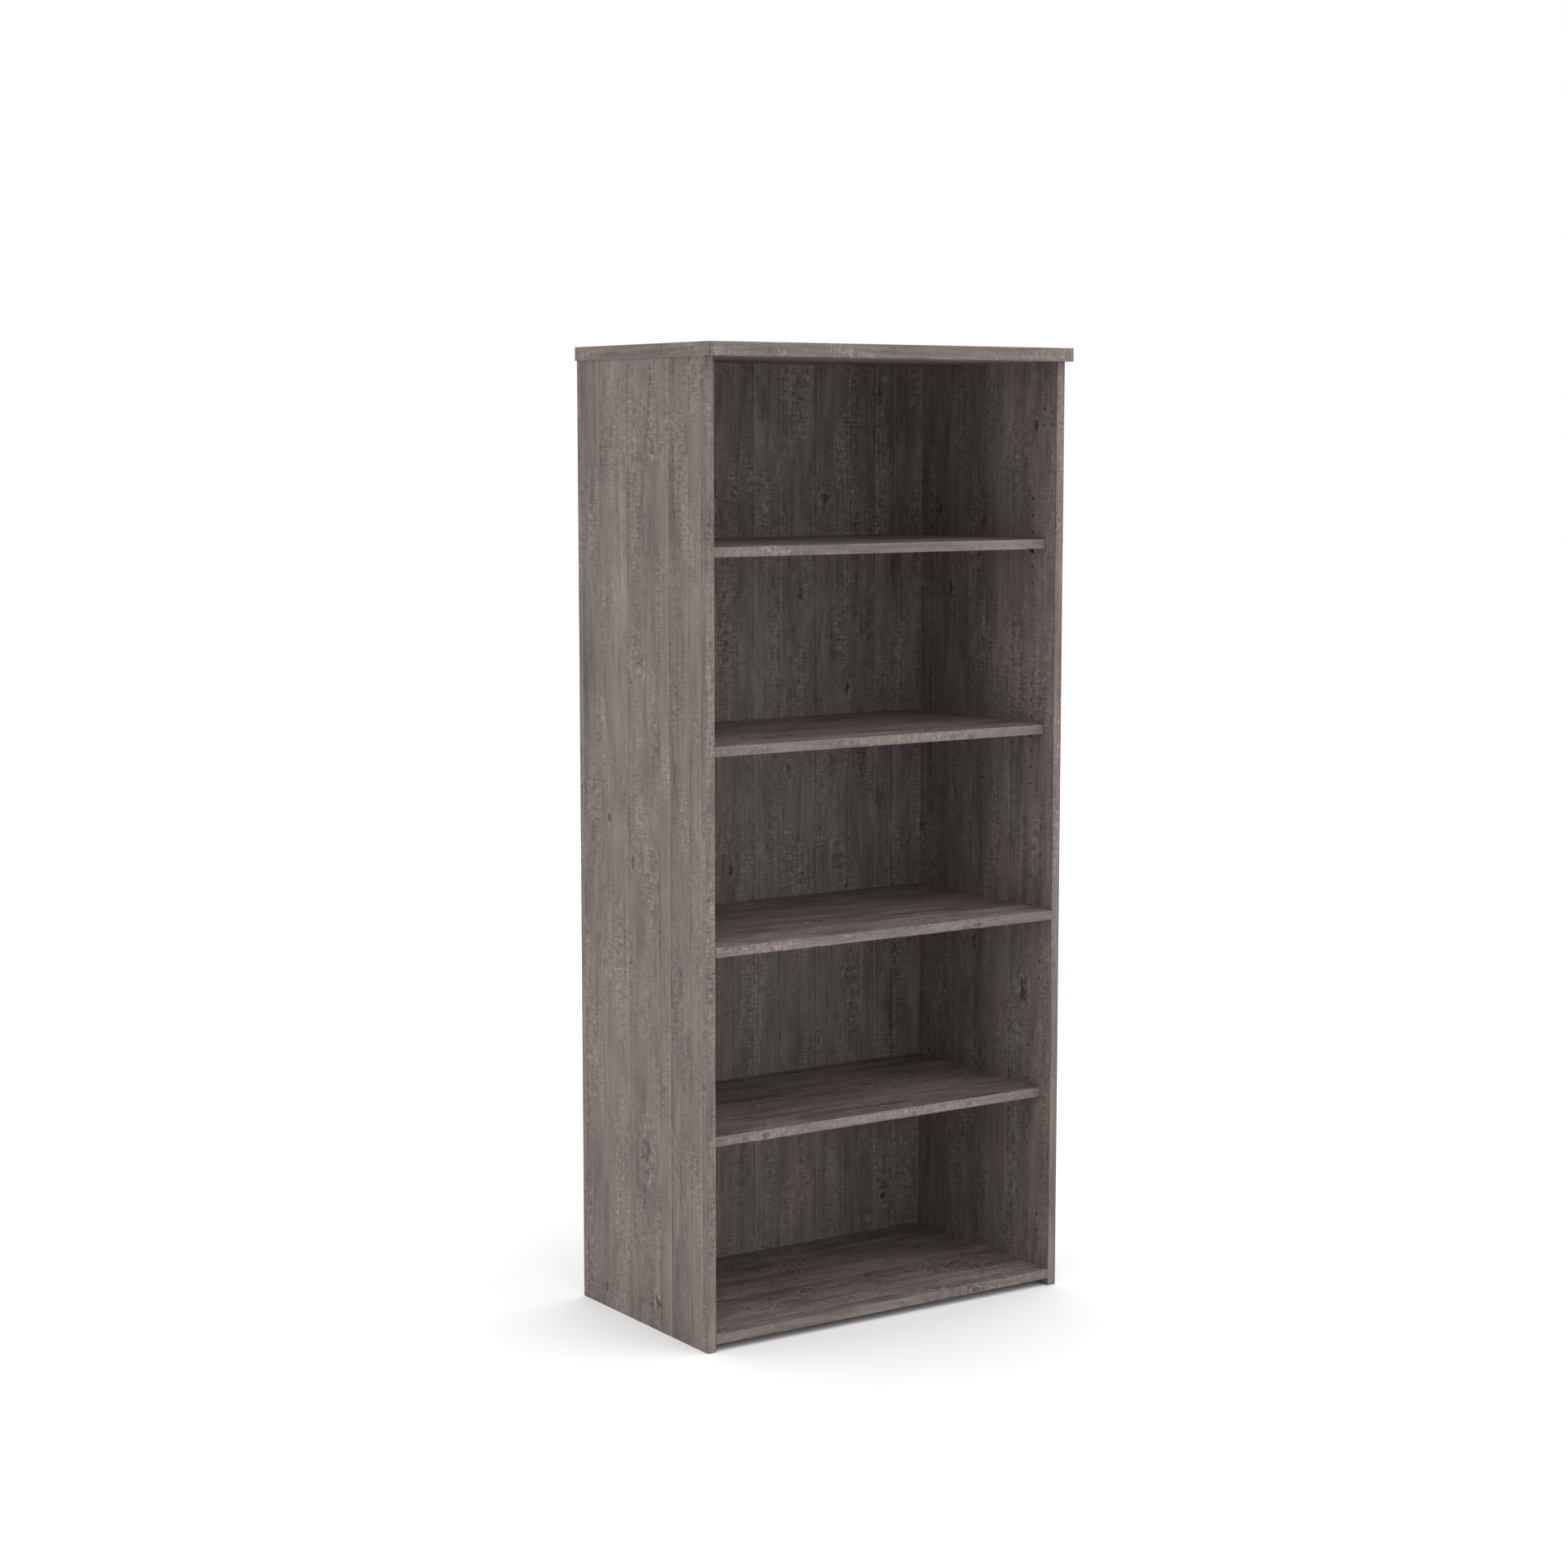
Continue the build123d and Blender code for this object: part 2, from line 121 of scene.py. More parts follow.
class Group(Nodes):
    """A node group shared by several materials."""

    def __init__(self, name, inputs, outputs):
        super().__init__(bpy.data.node_groups.new(name, "ShaderNodeTree"))
        for names, side in ((inputs, "INPUT"), (outputs, "OUTPUT")):
            for socket in names:
                kind = "NodeSocketColor" if socket == "colour" else "NodeSocketFloat"
                self.tree.interface.new_socket(socket, in_out=side, socket_type=kind)
        self.given = list(self.node("NodeGroupInput").outputs)[: len(inputs)]

    def give(self, *values):
        result = self.node("NodeGroupOutput")
        for socket, value in zip(result.inputs, values):
            self.feed(socket, value)


class Shader(Nodes):
    """A material under construction."""

    def __init__(self, name):
        self.material = bpy.data.materials.new(name)
        self.material.use_nodes = True
        super().__init__(self.material.node_tree)
        self.tree.nodes.clear()
        self.surface = self.node("ShaderNodeBsdfPrincipled")
        output = self.node("ShaderNodeOutputMaterial")
        self.tree.links.new(self.surface.outputs[0], output.inputs[0])
        place = self.node("ShaderNodeTexCoord").outputs["Object"]
        split = self.node("ShaderNodeSeparateXYZ")
        self.feed(split.inputs[0], place)
        self.axis = dict(zip("xyz", split.outputs))

    def bump(self, height, depth):
        """Bump from a height between 0 and 1, `depth` metres deep."""
        made = self.node("ShaderNodeBump")
        made.inputs["Strength"].default_value = 1.0
        made.inputs["Distance"].default_value = depth
        self.feed(made.inputs["Height"], height)
        self.feed(self.surface.inputs["Normal"], made.outputs[0])

    def finish(self, colour, roughness, metallic=0.0, specular=0.5):
        self.feed(self.surface.inputs["Base Color"], colour)
        self.feed(self.surface.inputs["Roughness"], roughness)
        self.surface.inputs["Metallic"].default_value = metallic
        self.surface.inputs["Specular IOR Level"].default_value = specular
        return self.material


# ---- oak decor ------------------------------------------------------------------------------
CHIPBOARD = (
    (0.0, (0.10, 0.065, 0.035)),
    (0.5, (0.30, 0.21, 0.12)),
    (1.0, (0.50, 0.38, 0.24)),
)
# darkening of the hole walls: painted shade
HOLE_PAINTED_SHADE = (0.18, 0.17, 0.17)
# one oak decor in two copies: darker on the outer faces as painted shade, lighter on the inner faces as
# painted light
OUTER_OAK_PAINTED_SHADE = (0.160, 0.132, 0.1185)
INNER_OAK_PAINTED_LIGHT = (0.164, 0.1385, 0.126)
PLUM_OAK = (0.165, 0.134, 0.130)
RING_GAP = 11.0
LAYER_GAP = 40.0
STAVE_JUMP = 900.0
SKIN = 0.0003
DARK, PLAIN, LIGHT = 0.84, 1.0, 1.16


def random_profile(seed, low, high):
    """Tone across a board, stave by stave, as points, and where the staves meet."""
    pick = random.Random(seed)
    points, edges, start = [], [low], low
    while start < high:
        end = min(start + pick.uniform(40.0, 120.0), high)
        tone = pick.uniform(0.92, 1.08)
        slope = pick.uniform(0.05, 0.15)
        points += [(start + 1.0, tone - slope - 0.04), (start + 12.0, tone - slope)]
        points += [(end - 8.0, tone + slope), (end - 1.0, tone + slope + 0.05)]
        edges.append(end)
        start = end
    return points, edges[:-1]


def laid_profile(staves, high):
    """The same for staves given one by one: where each begins, and its tone at its two edges."""
    starts = [start for start, _, _ in staves]
    points = []
    for (start, first, last), end in zip(staves, [*starts[1:], high]):
        points += [(start + 1.0, first), (end - 1.0, last)]
    return points, starts


def random_knots(seed, count, width, length):
    """Knots scattered over a board, in the form that `oak` takes."""
    pick = random.Random(seed)
    knots = []
    for _ in range(count):
        size = pick.uniform(0.7, 1.3)
        at = (pick.uniform(*width), pick.uniform(*length))
        knots.append((*at, 17.0 * size, 42.0 * size, pick.uniform(0.4, 1.0)))
    return knots


def random_streaks(seed, count, width, length):
    """Long dark streaks scattered over a board, as the blots that `oak` takes."""
    pick = random.Random(seed)
    streaks = []
    for _ in range(count):
        at = (pick.uniform(*width), pick.uniform(*length))
        half = (pick.uniform(4.0, 10.0), pick.uniform(60.0, 170.0))
        streaks.append((*at, *half, pick.uniform(-0.28, -0.12)))
    return streaks


def figure(g, layer, u, v, wide, tall, depth=0.0, detail=2.0, roughness=0.5):
    """Noise about 0 whose features are `wide` by `tall` millimetres."""
    value = g.noise(g.mul(u, 1 / wide), g.mul(v, 1 / tall), g.add(layer, depth), detail, roughness)
    return g.sub(value, 0.5)


def path_group():
    """How the grain wanders sideways, and a raggedness for the outlines of knots."""
    g = Group("grain_path", ("u", "v", "layer"), ("wander", "ragged"))
    u, v, layer = g.given
    wander = figure(g, layer, u, v, 130.0, 430.0, detail=1.0)
    g.give(wander, figure(g, layer, u, v, 13.0, 22.0, depth=1.0))
    return g


def reach(g, u, v, at_u, at_v, wide, tall):
    """Offset across and squared distance from a place, in half widths and half lengths."""
    du = g.math("DIVIDE", g.sub(u, at_u), wide)
    dv = g.math("DIVIDE", g.sub(v, at_v), tall)
    return du, g.add(g.mul(du, du), g.mul(dv, dv))


def knot_group():
    """Adds one knot: the grain flows round it, rings surround a dark heart with a pale rim."""
    passed = ("bent", "near", "rim", "heart", "swirl")
    g = Group("knot", ("u", "v", "ragged", "at_u", "at_v", "wide", "tall", "dark", *passed), passed)
    u, v, ragged, at_u, at_v, wide, tall, dark, bent, near, rim, heart, swirl = g.given
    du, q = reach(g, u, v, at_u, at_v, wide, tall)
    far = g.math("MULTIPLY_ADD", ragged, 0.9, g.math("SQRT", q))
    here = g.math("EXPONENT", g.mul(q, -0.8))
    rings = g.math("SINE", g.mul(g.mul(far, tall), 2 * math.pi / RING_GAP))
    edge = g.math("ABSOLUTE", g.sub(far, 0.5))
    g.give(
        g.sub(bent, g.mul(g.mul(du, here), g.mul(wide, 0.85))),
        g.math("MAXIMUM", near, here),
        g.math("MAXIMUM", rim, g.step(edge, 0.3, 0.1)),
        g.add(heart, g.mul(g.step(far, 0.50, 0.18), dark)),
        g.add(swirl, g.mul(rings, here)),
    )
    return g


def blot_group():
    """Adds one soft patch, lighter or darker."""
    g = Group("blot", ("u", "v", "ragged", "at_u", "at_v", "wide", "tall", "depth", "soft"), ("soft",))
    u, v, ragged, at_u, at_v, wide, tall, depth, soft = g.given
    _, q = reach(g, u, v, at_u, at_v, wide, tall)
    q = g.math("MULTIPLY_ADD", ragged, 3.0, q)
    g.give(g.math("MULTIPLY_ADD", g.step(q, 1.3, 0.0), depth, soft))
    return g


def seam_group():
    """Adds the fine dark and light lines along the meeting of two staves."""
    g = Group("seam", ("u", "strength", "at", "seam"), ("seam",))
    u, strength, at, seam = g.given
    off = g.sub(u, at)
    dark = g.step(g.math("ABSOLUTE", g.add(off, 1.4)), 2.2, 0.9)
    pale = g.step(g.math("ABSOLUTE", g.sub(off, 2.0)), 2.8, 1.2)
    change = g.sub(g.mul(pale, 0.15), g.mul(dark, 0.22))
    g.give(g.math("MULTIPLY_ADD", change, strength, seam))
    return g


def decor_group():
    """The print of rough-sawn oak, from its coordinates in millimetres."""
    inputs = ("u", "v", "bent", "shifted", "layer", "tone", "near", "rim", "heart", "swirl", "soft")
    g = Group("decor", (*inputs, "contrast", "colour"), ("colour", "roughness", "height"))
    u, v, bent, shifted, layer, tone, near, rim, heart, swirl, soft, contrast, colour = g.given

    def grain(wide, tall, **options):
        return figure(g, layer, bent, shifted, wide, tall, **options)

    # growth rings: arches where the distance to the pith changes along the stave
    pith = figure(g, layer, u, shifted, 500.0, 300.0, depth=3.0)
    pith = g.math("MULTIPLY_ADD", pith, 170.0, 35.0)
    off = figure(g, layer, u, shifted, 90.0, 600.0, depth=5.0)
    off = g.math("MULTIPLY_ADD", off, 320.0, g.mul(bent, 0.25))
    radius = g.math("SQRT", g.add(g.mul(off, off), g.mul(pith, pith)))
    radius = g.math("MULTIPLY_ADD", grain(16.0, 80.0), 9.0, radius)
    ring = g.math("FRACT", g.mul(radius, 1 / 7.0))
    ring = g.sub(g.mul(g.step(ring, 0.0, 0.7), g.step(ring, 1.0, 0.8)), 0.4)
    ring = g.mul(ring, g.step(figure(g, layer, u, v, 70.0, 260.0, depth=6.0), -0.08, 0.12))

    # fibres, streaks and blotches along the grain
    fibre = grain(2.4, 60.0, detail=3.0, roughness=0.6)
    dash = grain(2.6, 11.0, depth=7.0)
    streak = grain(6.0, 210.0)
    stripe = grain(15.0, 520.0, depth=19.0)
    vein = grain(26.0, 420.0, depth=16.0, detail=1.0)
    vein = g.sub(g.math("FRACT", g.mul(vein, 9.0)), 0.5)
    blotch = grain(30.0, 130.0, detail=3.0)
    cloud = figure(g, layer, u, v, 110.0, 330.0, depth=8.0, detail=1.0)
    dark_streak = grain(9.0, 120.0, depth=9.0, detail=3.0, roughness=0.6)
    dark_streak = g.step(dark_streak, -0.12, -0.22)

    # rough-sawn surface: grit, ripples across the grain, curls and flecks of pale filler
    mottle = figure(g, layer, bent, v, 10.0, 17.0, depth=10.0, detail=3.0, roughness=0.6)
    grit = figure(g, layer, bent, v, 4.0, 5.5, detail=4.0, roughness=0.7)
    sawn = figure(g, layer, u, shifted, 58.0, 240.0, depth=11.0, detail=3.0)
    smooth = g.step(sawn, -0.12, 0.14, 0.45, 1.35)
    ripple = figure(g, layer, u, v, 19.0, 4.6, depth=2.0)
    ripple_here = g.step(sawn, -0.08, 0.14, 0.25, 2.0)
    patch = g.math("MAXIMUM", g.step(sawn, -0.01, 0.13), rim)
    curl = figure(g, layer, bent, v, 9.0, 13.0, depth=13.0, detail=3.0, roughness=0.65)
    line = g.mul(g.step(g.math("ABSOLUTE", curl), 0.030, 0.006), patch)
    chip = figure(g, layer, bent, v, 4.0, 14.0, depth=14.0)
    fleck = g.mul(g.step(chip, 0.07, 0.15), patch)
    pit = g.mul(g.step(chip, -0.09, -0.17), g.math("MULTIPLY_ADD", patch, 0.7, 0.3))

    value = g.total(
        g.mul(fibre, 0.55),
        g.mul(dash, 0.25),
        g.mul(streak, 0.55),
        g.mul(stripe, 0.45),
        g.mul(vein, 0.12),
        g.mul(blotch, 0.80),
        g.mul(cloud, 0.30),
        g.mul(g.add(g.mul(mottle, 0.55), g.mul(grit, 0.55)), smooth),
        g.mul(dark_streak, -0.12),
        g.mul(ring, 0.20),
        g.mul(g.mul(ripple, ripple_here), 0.72),
        g.mul(line, 0.28),
        g.mul(fleck, 0.46),
        g.mul(pit, -0.10),
        g.mul(swirl, 0.19),
        g.mul(near, -0.05),
        g.mul(heart, g.math("MULTIPLY_ADD", chip, 3.5, -0.42)),
        soft,
    )
    value = g.math("MULTIPLY_ADD", value, contrast, g.mul(tone, 2.0))
    value = g.math("MAXIMUM", value, 0.3)
    hue = g.step(figure(g, layer, u, shifted, 60.0, 330.0, depth=17.0), -0.12, 0.12)
    tint = g.blend(hue, (0.985, 1.005, 0.99), (1.012, 0.995, 1.0))
    tint = g.blend(1.0, colour, tint, "MULTIPLY")
    shade = g.node("ShaderNodeVectorMath", operation="SCALE")
    g.feed(shade.inputs[0], tint)
    g.feed(shade.inputs["Scale"], value)
    relief = g.total(g.mul(fibre, 0.5), g.mul(dash, 0.4), g.mul(grit, 0.6), g.mul(fleck, 0.2))
    g.give(shade.outputs[0], g.math("MULTIPLY_ADD", grit, 0.25, 0.58), g.add(relief, 0.5))
    return g


PATH, KNOT, BLOT, SEAM, DECOR = (
    path_group(), knot_group(), blot_group(), seam_group(), decor_group()
)


def oak(name, along, across, seed, colour, profile, edges, knots, blots, contrast=1.15, box=None):
    """Rough-sawn grey-brown oak decor whose grain runs along one axis of the object.

    Sizes are millimetres on the object's own axes. `profile` holds the tone at places
    across the board and `edges` the places where staves meet. Each knot is its place across
    and along, half width, half length and darkness; each blot the same for a soft lighter
    or darker patch. Raw chipboard shows inside `box`, on the walls of holes, darkened there
    with painted shade.
    """
    s = Shader(name)
    u = s.mul(s.axis[across], MM)
    v = s.mul(s.axis[along], MM)
    layer = LAYER_GAP * seed
    wander, ragged = s.apply(PATH, u, v, layer)
    bent = s.math("MULTIPLY_ADD", wander, 30.0, u)
    near, rim, heart, swirl, soft = 0.0, 0.0, 0.0, 0.0, 0.0
    for knot in knots:
        bent, near, rim, heart, swirl = s.apply(
            KNOT, u, v, ragged, *map(float, knot), bent, near, rim, heart, swirl
        )
    for blot in blots:
        soft = s.apply(BLOT, u, v, ragged, *map(float, blot), soft)[0]

    low, high = profile[0][0], profile[-1][0]
    place = s.math("MULTIPLY_ADD", wander, 4.0, u)
    strength = s.step(figure(s, layer, u, v, 60.0, 190.0, depth=18.0), -0.1, 0.1, 0.35, 1.3)
    for edge in edges[1:]:
        soft = s.apply(SEAM, place, strength, float(edge), soft)[0]
    place = s.mul(s.sub(place, low), 1 / (high - low))
    tone = s.ramp(place, [((at - low) / (high - low), (t / 2,) * 3) for at, t in profile])
    pick = random.Random(seed)
    steps = [(max(0.0, (at - low) / (high - low)), (pick.random(),) * 3) for at in edges]
    jump = s.ramp(place, steps, "CONSTANT")
    shifted = s.math("MULTIPLY_ADD", jump, STAVE_JUMP, v)
    result, rough, relief = s.apply(
        DECOR, u, v, bent, shifted, layer, tone, near, rim, heart, swirl, soft, contrast, (*colour, 1)
    )
    if box:
        inside, foot = raw_masks(s, box)
        raw = s.math("MAXIMUM", inside, foot)
        chipboard_and_painted_shade = s.noise(*[s.mul(s.axis[k], 500.0) for k in "xyz"])
        # raw chipboard colour, darkened on the walls of holes as painted shade
        chipboard_and_painted_shade = s.blend(inside, s.ramp(chipboard_and_painted_shade, CHIPBOARD), HOLE_PAINTED_SHADE, "MULTIPLY")
        result = s.blend(raw, result, chipboard_and_painted_shade)
        rough = s.math("MAXIMUM", rough, s.mul(raw, 0.9))
    s.bump(relief, 0.00012)
    return s.finish(result, rough, specular=0.3)


def raw_masks(s, box):
    """1 where raw board shows: under the skin in a hole, and on the end a board stands on."""
    low, high = box
    depths = []
    for name, a, b in zip("xyz", low, high):
        depths.append(s.sub(s.axis[name], a))
        depths.append(s.sub(b, s.axis[name]))
    least = depths[0]
    for depth in depths[1:]:
        least = s.math("MINIMUM", least, depth)
    inside = s.math("GREATER_THAN", least, SKIN)
    foot = s.math("LESS_THAN", s.axis["z"], SKIN)
    return inside, foot


# ---- fittings -------------------------------------------------------------------------------
def metal(name, colour, roughness, scale, spots):
    """Metal with faint blotches of tarnish and fine marks; `scale` is features per metre."""
    s = Shader(name)
    at = [s.mul(s.axis[k], scale) for k in "xyz"]
    tarnish = s.noise(*at, detail=3.0)
    fine = s.noise(*[s.mul(a, 9.0) for a in at], detail=2.0)
    dark = tuple(c * (1 - spots) for c in colour)
    base = s.blend(s.step(tarnish, 0.35, 0.65), dark, colour)
    rough = s.math("MULTIPLY_ADD", s.total(tarnish, fine), 0.12, roughness - 0.12)
    s.bump(fine, 0.00003)
    return s.finish(base, rough, metallic=1.0)


def plastic(name, colour, roughness, painted_shade_at_top=1.0):
    """Moulded plastic with a fine satin grain and faint mottling; painted shade makes it the given factor
    as light up high.
    """
    s = Shader(name)
    grain = s.noise(*[s.mul(s.axis[k], 2600.0) for k in "xyz"], detail=2.0)
    cloud = s.noise(*[s.mul(s.axis[k], 90.0) for k in "xyz"], detail=2.0)
    dark = tuple(c * 0.9 for c in colour)
    base = s.blend(s.step(cloud, 0.3, 0.7), dark, colour)
    # painted shade: darker up high by the given factor
    base = s.blend(s.step(s.axis["z"], 0.3, 1.6), base, (painted_shade_at_top,) * 3, "MULTIPLY")
    rough = s.math("MULTIPLY_ADD", grain, 0.1, roughness - 0.05)
    s.bump(grain, 0.00002)
    return s.finish(base, rough)


def beech():
    """Beech of the dowels, finely flecked."""
    s = Shader("beech")
    fleck = s.noise(*[s.mul(s.axis[k], 900.0) for k in "xyz"], detail=3.0)
    base = s.ramp(fleck, ((0.2, (0.42, 0.27, 0.15)), (0.5, (0.62, 0.45, 0.28)), (0.8, (0.7, 0.54, 0.36))))
    s.bump(fleck, 0.00005)
    return s.finish(base, s.math("MULTIPLY_ADD", fleck, 0.1, 0.6))


# ---- which material each part gets ----------------------------------------------------------
def wear(name, material):
    """Gives a part its one material."""
    data = nodes[name].data
    data.materials.clear()
    data.materials.append(material)


def board(name, along, across, seed, colour=OUTER_OAK_PAINTED_SHADE, staves=(), knots=None, blots=()):
    """Dresses a board in decor; what is not given is drawn from the seed."""
    low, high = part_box(name)
    width = [MM * corner["xyz".index(across)] for corner in (low, high)]
    length = [MM * corner["xyz".index(along)] for corner in (low, high)]
    if staves:
        profile, edges = laid_profile(staves, width[1])
    else:
        profile, edges = random_profile(seed, *width)
    if not knots:
        knots = random_knots(seed, 5, width, length)
        blots = random_streaks(seed + 0.5, 8, width, length)
    contrast = 1.15 if along == "z" else 1.6
    box = (low, high)
    wear(name, oak(name, along, across, seed, colour, profile, edges, knots, blots, contrast, box))


board(
    "left_side_panel", "z", "y", 1.0,
    staves=(
        (-210, PLAIN, PLAIN), (-195, LIGHT, PLAIN), (-155, PLAIN, DARK), (-90, LIGHT, PLAIN),
        (-50, PLAIN, PLAIN), (55, LIGHT, PLAIN), (150, PLAIN, DARK), (215, PLAIN, PLAIN),
    ),
    knots=(
        (-36, 1602, 20, 36, 1.0), (141, 1582, 14, 30, 0.7), (141, 1264, 12, 24, 0.5),
        (17, 1229, 24, 36, 0.3), (223, 976, 12, 26, 0.9), (123, 931, 10, 24, 0.8),
        (38, 855, 18, 34, 1.0), (-8, 330, 44, 115, 0.5), (11, 322, 14, 30, 0.7),
        (-42, 52, 20, 36, 1.0), (141, 38, 14, 30, 0.7),
    ),
    blots=(
        (5, 1590, 42, 7, -0.16), (-20, 1596, 24, 5, 0.14), (5, 44, 42, 7, -0.16),
        (80, 905, 34, 50, 0.16), (95, 1290, 26, 60, 0.10), (-160, 1500, 34, 120, 0.10),
        (-165, 1330, 30, 55, 0.14), (-150, 617, 32, 60, 0.14), (190, 1560, 22, 110, -0.12),
        (205, 1120, 12, 180, -0.14), (-115, 1480, 22, 160, -0.08), (20, 450, 20, 40, -0.12),
        (-40, 1480, 18, 120, -0.06), (-130, 1180, 26, 80, -0.07),
    ),
)
board(
    "back_panel", "z", "x", 3.0, INNER_OAK_PAINTED_LIGHT,
    staves=(
        (-380, PLAIN, LIGHT), (-290, PLAIN, PLAIN), (-180, PLAIN, LIGHT), (-105, PLAIN, PLAIN),
        (-20, LIGHT, PLAIN), (40, PLAIN, PLAIN), (125, PLAIN, PLAIN), (200, DARK, DARK),
        (265, PLAIN, DARK), (310, DARK, PLAIN),
    ),
    knots=(
        (145, 1505, 24, 38, 0.9), (275, 1710, 14, 30, 0.6), (90, 1323, 17, 30, 0.7),
        (200, 1133, 14, 30, 0.8), (60, 976, 20, 36, 0.6), (-75, 796, 14, 30, 1.0),
        (176, 800, 28, 95, 0.15), (200, 564, 17, 36, 0.7), (130, 449, 14, 40, 0.8),
        (290, 100, 15, 28, 0.8),
    ),
    blots=(
        (60, 1290, 22, 30, 0.14), (280, 916, 16, 26, -0.18), (190, 1001, 14, 22, -0.16),
        (240, 604, 26, 40, 0.10), (5, 192, 14, 40, -0.16), (100, 1600, 30, 60, 0.08),
        # broad darker patch over the top of the back: painted shade under the top panel
        (0, 1760, 700, 650, -0.17),
    ),
)
board(
    # the right side's inner face made lighter still: painted light
    "right_side_panel", "z", "y", 2.0, tuple(c * 1.13 for c in INNER_OAK_PAINTED_LIGHT),
    staves=(
        (-210, PLAIN, PLAIN), (-80, LIGHT, PLAIN), (0, DARK, PLAIN), (120, DARK, PLAIN),
        (165, PLAIN, PLAIN),
    ),
    knots=(
        (150, 1480, 16, 32, 0.8), (115, 1330, 20, 42, 1.0), (-150, 1650, 14, 28, 0.7),
        (-128, 560, 30, 70, 0.8), (30, 640, 17, 32, 0.8), (-110, 170, 15, 28, 0.8),
    ),
)
board(
    "bottom_panel", "x", "y", 4.0, PLUM_OAK,
    staves=(
        (-210, PLAIN, DARK), (-180, LIGHT, PLAIN), (-145, PLAIN, DARK), (-35, LIGHT, DARK),
        (125, PLAIN, PLAIN),
    ),
    knots=(
        (180, 40, 22, 42, 0.4), (50, -45, 14, 26, 0.4), (55, 260, 12, 26, 0.8),
        (-50, 70, 12, 28, 0.8), (-75, -100, 18, 28, 0.3), (-85, 25, 16, 32, 0.4),
        (-100, 268, 36, 66, 0.2), (-125, 275, 12, 26, 1.0),
    ),
)
board(
    "fixed_shelf", "x", "y", 5.0, PLUM_OAK,
    staves=(
        (-210, PLAIN, PLAIN), (-165, LIGHT, LIGHT), (-120, DARK, PLAIN), (0, PLAIN, DARK),
        (120, PLAIN, PLAIN),
    ),
    knots=(
        (80, -170, 22, 46, 0.3), (-67, -70, 16, 42, 0.9), (-67, 0, 12, 28, 0.7),
        (-175, 110, 18, 34, 0.5), (150, 190, 14, 30, 0.7),
    ),
    blots=((-88, 145, 9, 90, -0.28), (-85, -220, 14, 40, -0.2), (118, -60, 7, 140, -0.14)),
)
for seed, name in enumerate(("top_panel", "lower_shelf", "middle_shelf", "upper_shelf"), 6):
    board(name, "x", "y", float(seed), PLUM_OAK)

# the bands repeat one print, with a split knot at the same places on every shelf
SPLITS = ((8.0, -255.0, 9.0, 16.0, 0.5), (6.0, 205.0, 9.0, 18.0, 0.5))


def band(name, along, across, seed, splits):
    """Edge band, a narrow strip of the decor with its cut ends darker."""
    low, high = (MM * corner["xyz".index(across)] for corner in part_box(name))
    ends = [MM * corner["xyz".index(along)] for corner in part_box(name)]
    knots = [(low + at, *rest) for at, *rest in splits]
    profile = ((low, 0.90), (low + 2.0, 1.0), (high - 2.0, 1.03), (high, 1.08))
    dark = [((low + high) / 2, end, 60.0, 1.6, -0.3) for end in ends]
    wear(name, oak(name, along, across, seed, OUTER_OAK_PAINTED_SHADE, profile, (low,), knots, dark))


for name in nodes:
    if name.endswith("_side_edge"):
        band(name, "z", "x", 11.0, ((7.0, 1470.0, 8.0, 20.0, 0.5),))
    elif name in ("top_edge_left", "top_edge_right"):
        band(name, "y", "z", 13.0, ())
    elif name.endswith("_edge") or name.startswith("top_edge"):
        band(name, "x", "z", 12.0, SPLITS)

support_metal = metal("support_metal", (0.115, 0.105, 0.10), 0.42, 300.0, 0.4)
zinc = metal("zinc", (0.50, 0.50, 0.51), 0.45, 400.0, 0.25)
bolt_steel = metal("bolt_steel", (0.60, 0.56, 0.42), 0.35, 400.0, 0.2)
CAP = (0.196, 0.169, 0.154)
# the cover caps in two copies: lighter on the side panels as painted light, darker on the back and darker
# still up high as painted shade
back_caps_painted_shade = plastic("back_caps_painted_shade", tuple(c * 1.04 for c in CAP), 0.55, painted_shade_at_top=0.78)
side_caps_painted_light = plastic("side_caps_painted_light", tuple(c * 1.15 for c in CAP), 0.55)
wood = beech()
for name in nodes:
    if "_support_" in name:
        wear(name, support_metal)
    elif name.endswith("_cams"):
        wear(name, zinc)
    elif name.endswith("_cam_bolts"):
        wear(name, bolt_steel)
    elif name.endswith("_cover_caps"):
        wear(name, back_caps_painted_shade if name.startswith("back") else side_caps_painted_light)
    elif name.endswith("_dowels"):
        wear(name, wood)


# ---- studio ---------------------------------------------------------------------------------
def studio_floor():
    """A plain, nearly white floor, 60 m across."""
    half = 30.0
    mesh = bpy.data.meshes.new("floor")
    corners = [(-half, -half, 0), (half, -half, 0), (half, half, 0), (-half, half, 0)]
    mesh.from_pydata(corners, [], [(0, 1, 2, 3)])
    floor = bpy.data.objects.new("floor", mesh)
    bpy.context.scene.collection.objects.link(floor)
    s = Shader("floor")
    shade = s.noise(s.mul(s.axis["x"], 3.0), s.mul(s.axis["y"], 3.0), detail=2.0)
    colour = s.ramp(shade, ((0.0, (0.92, 0.92, 0.92)), (1.0, (0.94, 0.94, 0.94))))
    mesh.materials.append(s.finish(colour, 0.9, specular=0.0))
    return floor


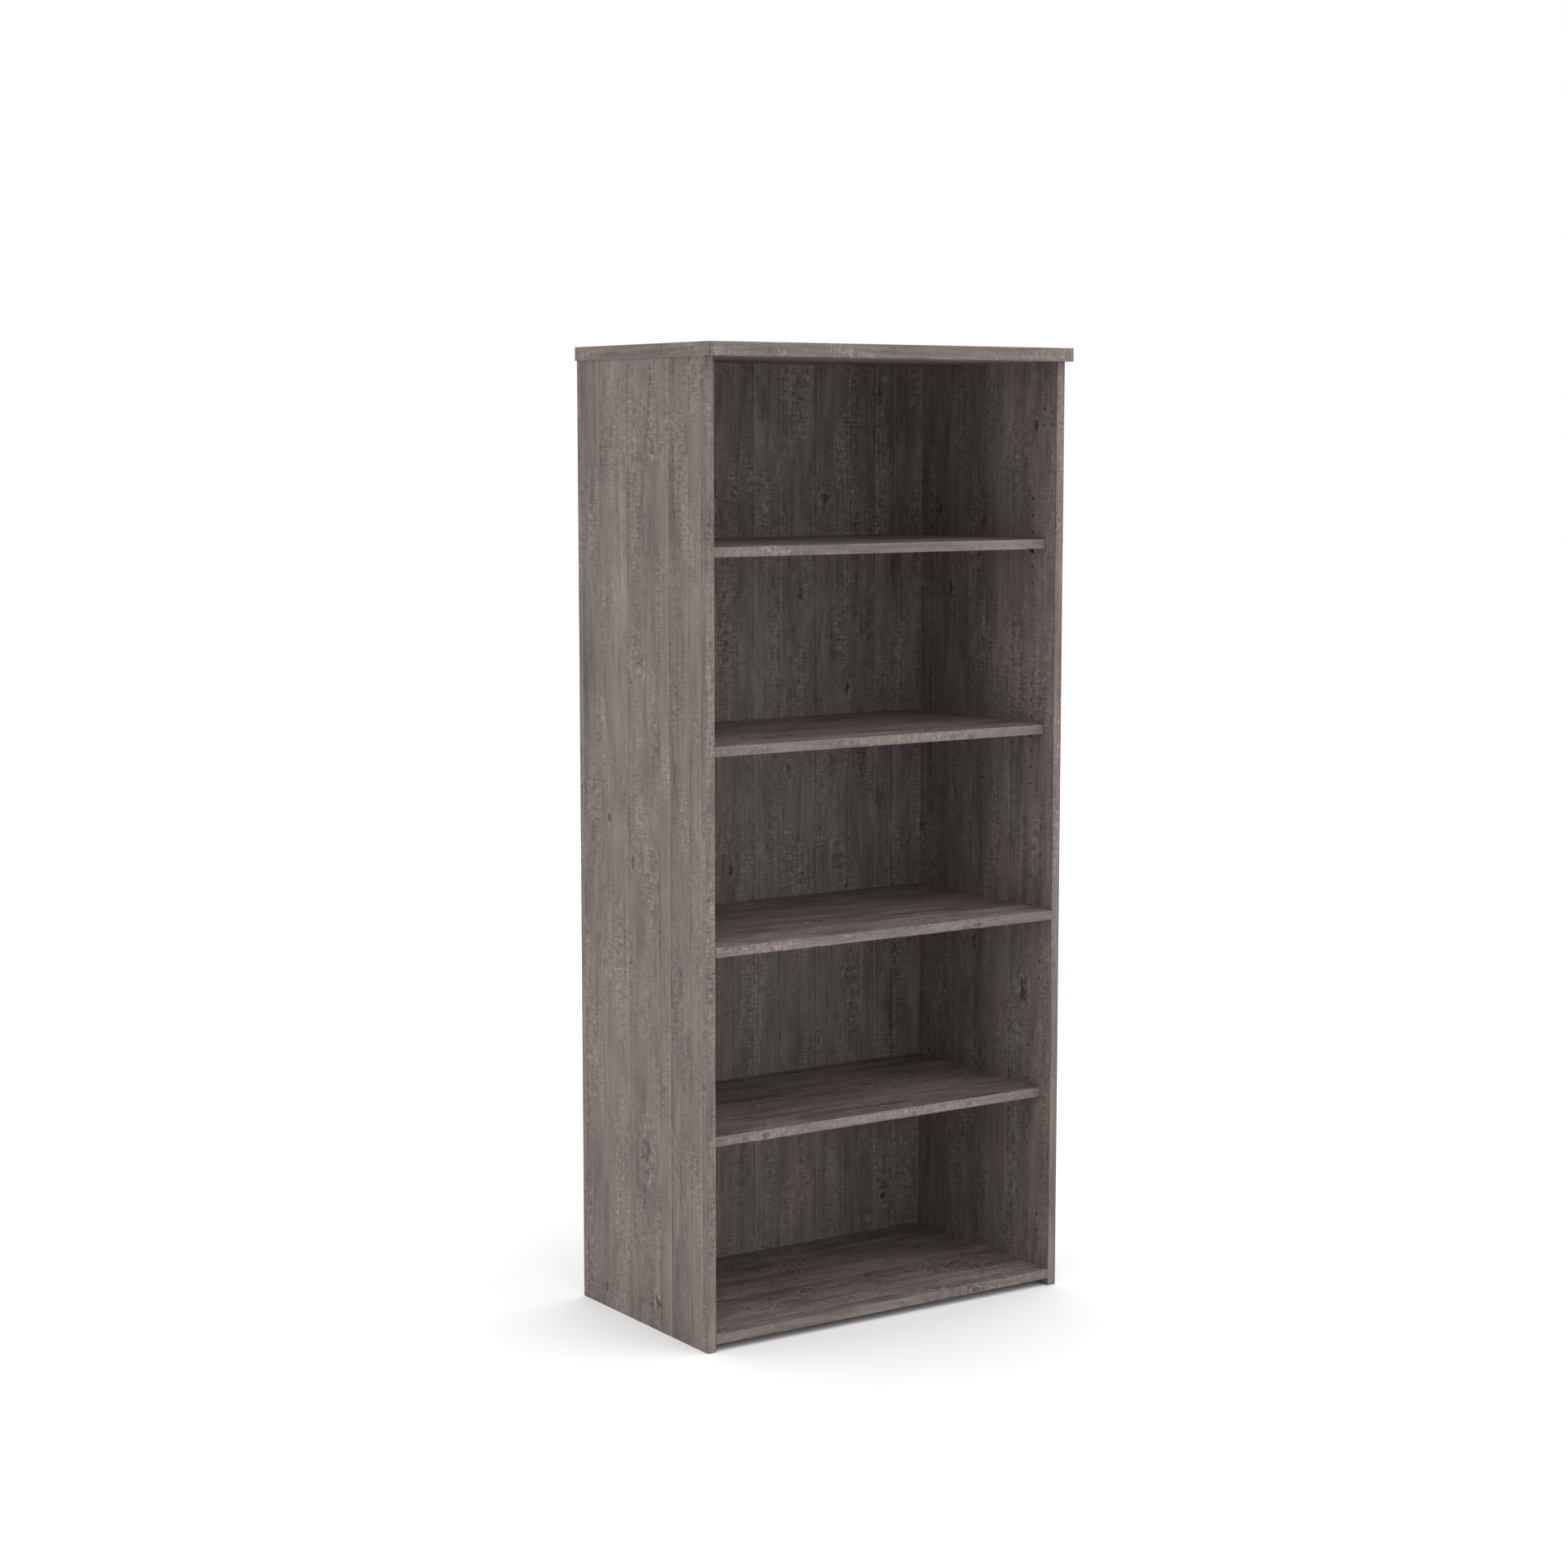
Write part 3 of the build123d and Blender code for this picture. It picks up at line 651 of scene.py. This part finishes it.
def studio_world(overhead, horizon, key, towards):
    """White all round for the camera; the light comes from overhead and from one side."""
    world = bpy.data.worlds.new("studio")
    bpy.context.scene.world = world
    world.use_nodes = True
    tree = world.node_tree
    tree.nodes.clear()

    def math_node(operation, *values):
        made = tree.nodes.new("ShaderNodeMath")
        made.operation = operation
        for socket, value in zip(made.inputs, values):
            if isinstance(value, float):
                socket.default_value = value
            else:
                tree.links.new(value, socket)
        return made.outputs[0]

    place = tree.nodes.new("ShaderNodeTexCoord")
    split = tree.nodes.new("ShaderNodeSeparateXYZ")
    tree.links.new(place.outputs["Generated"], split.inputs[0])
    height = math_node("MAXIMUM", split.outputs[2], 0.0)
    level = math_node("MULTIPLY_ADD", height, overhead - horizon, horizon)
    dot = tree.nodes.new("ShaderNodeVectorMath")
    dot.operation = "DOT_PRODUCT"
    tree.links.new(place.outputs["Generated"], dot.inputs[0])
    dot.inputs[1].default_value = Vector(towards).normalized()
    lobe = math_node("MAXIMUM", dot.outputs["Value"], 0.0)
    level = math_node("MULTIPLY_ADD", math_node("MULTIPLY", lobe, lobe), key, level)
    path = tree.nodes.new("ShaderNodeLightPath")
    pick = tree.nodes.new("ShaderNodeMix")
    tree.links.new(path.outputs["Is Camera Ray"], pick.inputs[0])
    tree.links.new(level, pick.inputs[2])
    pick.inputs[3].default_value = 1.0
    background = tree.nodes.new("ShaderNodeBackground")
    background.inputs["Color"].default_value = (1, 1, 1, 1)
    tree.links.new(pick.outputs[0], background.inputs["Strength"])
    output = tree.nodes.new("ShaderNodeOutputWorld")
    tree.links.new(background.outputs[0], output.inputs[0])


def camera():
    """The camera at the photograph's place, turned and tipped toward the bookcase."""
    data = bpy.data.cameras.new("camera")
    data.sensor_fit = "HORIZONTAL"
    data.sensor_width = 36.0
    data.lens = 68.294
    data.clip_end = 200.0
    made = bpy.data.objects.new("camera", data)
    bpy.context.scene.collection.objects.link(made)
    made.location = (-3.1534, -4.5690, 1.6322)
    pitch, turn = 6.717, 33.819
    made.rotation_euler = Euler((math.radians(90 - pitch), 0, math.radians(-turn)))
    bpy.context.scene.camera = made


studio_floor()
studio_world(overhead=1.45, horizon=0.52, key=0.6, towards=(0.5, -0.6, 0.62))
camera()
bpy.context.scene.view_settings.view_transform = "Standard"
